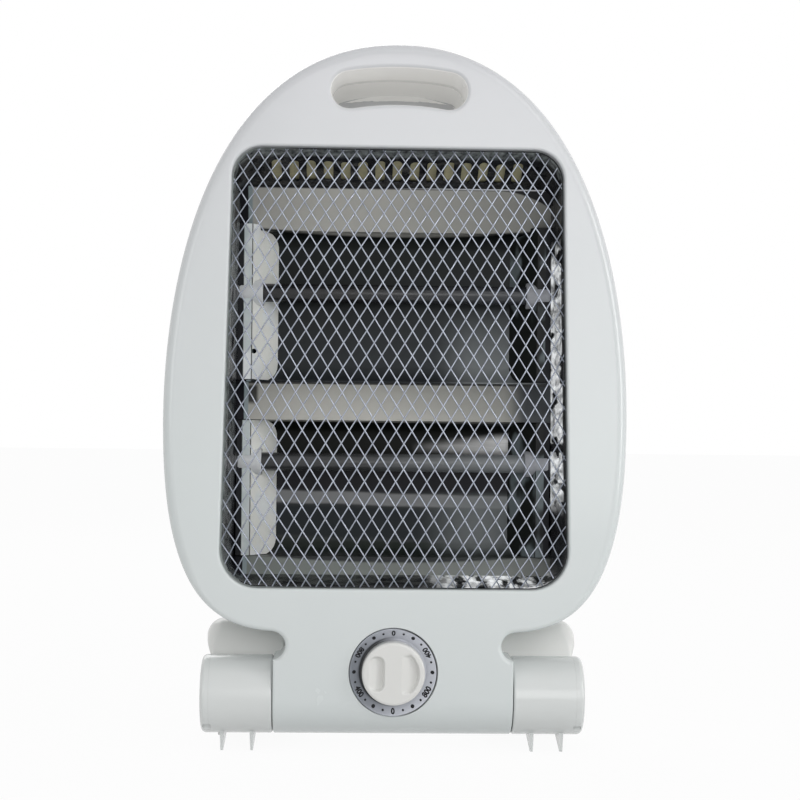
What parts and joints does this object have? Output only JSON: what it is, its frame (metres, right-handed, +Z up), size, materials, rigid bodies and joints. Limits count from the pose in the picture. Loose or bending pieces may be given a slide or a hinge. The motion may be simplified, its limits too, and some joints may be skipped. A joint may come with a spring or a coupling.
{
  "type": "quartz heater",
  "caption": "Free-standing quartz heater: egg-shaped moulded body with a handle slot, domed wire grille, quartz tubes before folded reflectors, rotary dial, folding feet.",
  "frame": {"origin": "on the floor, under the middle of the whole part", "axes": "+Z up, -Y towards the front with the grille and the dial, +X to the right as seen from the front"},
  "size_m": [0.24, 0.1146, 0.3666],
  "materials": {
    "shell": "smooth moulded plastic, light grey-white",
    "foot": "smooth moulded plastic, light grey",
    "knob": "smooth moulded plastic",
    "dial": "printed lavender-grey ring",
    "wire": "plated wire mesh",
    "tray": "bright rolled sheet",
    "mirror": "polished sheet",
    "quartz": "frosted quartz",
    "coil": "resistance wire",
    "ceramic": "steatite ceramic",
    "brass": "plated tab",
    "steel": "zinc-plated steel",
    "black": "moulded phenolic",
    "grey": "moulded plastic",
    "white": "moulded plastic",
    "red": "lead insulation"
  },
  "bodies": {
    "root": {"front_shell": "shell", "back_shell": "shell", "grille": "wire", "reflector_tray": "tray", "upper_reflector": "mirror", "lower_reflector": "mirror", "left_upper_end_plate": "mirror", "right_upper_end_plate": "mirror", "left_lower_end_plate": "mirror", "right_lower_end_plate": "mirror", "upper_quartz_tube": "quartz", "lower_quartz_tube": "quartz", "upper_heating_coil": "coil", "lower_heating_coil": "coil", "left_upper_ceramic_cap": "ceramic", "right_upper_ceramic_cap": "ceramic", "left_lower_ceramic_cap": "ceramic", "right_lower_ceramic_cap": "ceramic", "left_upper_terminal": "brass", "right_upper_terminal": "brass", "left_lower_terminal": "brass", "right_lower_terminal": "brass", "dial_ring": "dial", "rotary_switch": "black", "switch_nut": "steel", "left_foot_washer": "steel", "right_foot_washer": "steel", "left_foot_screw": "steel", "right_foot_screw": "steel", "body_screw_1": "steel", "body_screw_2": "steel", "body_screw_3": "steel", "body_screw_4": "steel", "body_screw_5": "steel", "body_screw_6": "steel", "tray_screw_1": "steel", "tray_screw_2": "steel", "tray_screw_3": "steel", "tray_screw_4": "steel", "cord_gland": "grey", "tilt_switch_case": "grey", "tilt_switch_pin": "steel", "thermal_cutout": "black", "terminal_block": "white", "left_upper_lead": "red", "right_upper_lead": "white", "left_lower_lead": "red", "cutout_lead": "white"},
    "left_foot": {"left_foot": "foot", "left_foot_cap": "foot"},
    "right_foot": {"right_foot": "foot", "right_foot_cap": "foot"},
    "knob": {"knob": "knob", "switch_shaft": "white"},
    "tilt_weight": {"tilt_switch_weight": "steel"}
  },
  "joints": [
    {"name": "left_foot_fold", "type": "hinge", "parent": "root", "child": "left_foot", "pos_m": [-0.08, -0.0287, 0.0284], "axis": [1, 0, 0], "range_deg": [-90, 0]},
    {"name": "right_foot_fold", "type": "hinge", "parent": "root", "child": "right_foot", "pos_m": [0.08, -0.0287, 0.0284], "axis": [1, 0, 0], "range_deg": [-90, 0]},
    {"name": "knob_turn", "type": "hinge", "parent": "root", "child": "knob", "pos_m": [0, -0.045, 0.0426], "axis": [0, -1, 0], "continuous": true},
    {"name": "tilt_weight_swing", "type": "hinge", "parent": "root", "child": "tilt_weight", "pos_m": [0.032, -0.0287, 0.0355], "axis": [1, 0, 0], "range_deg": [-12, 12]}
  ]
}
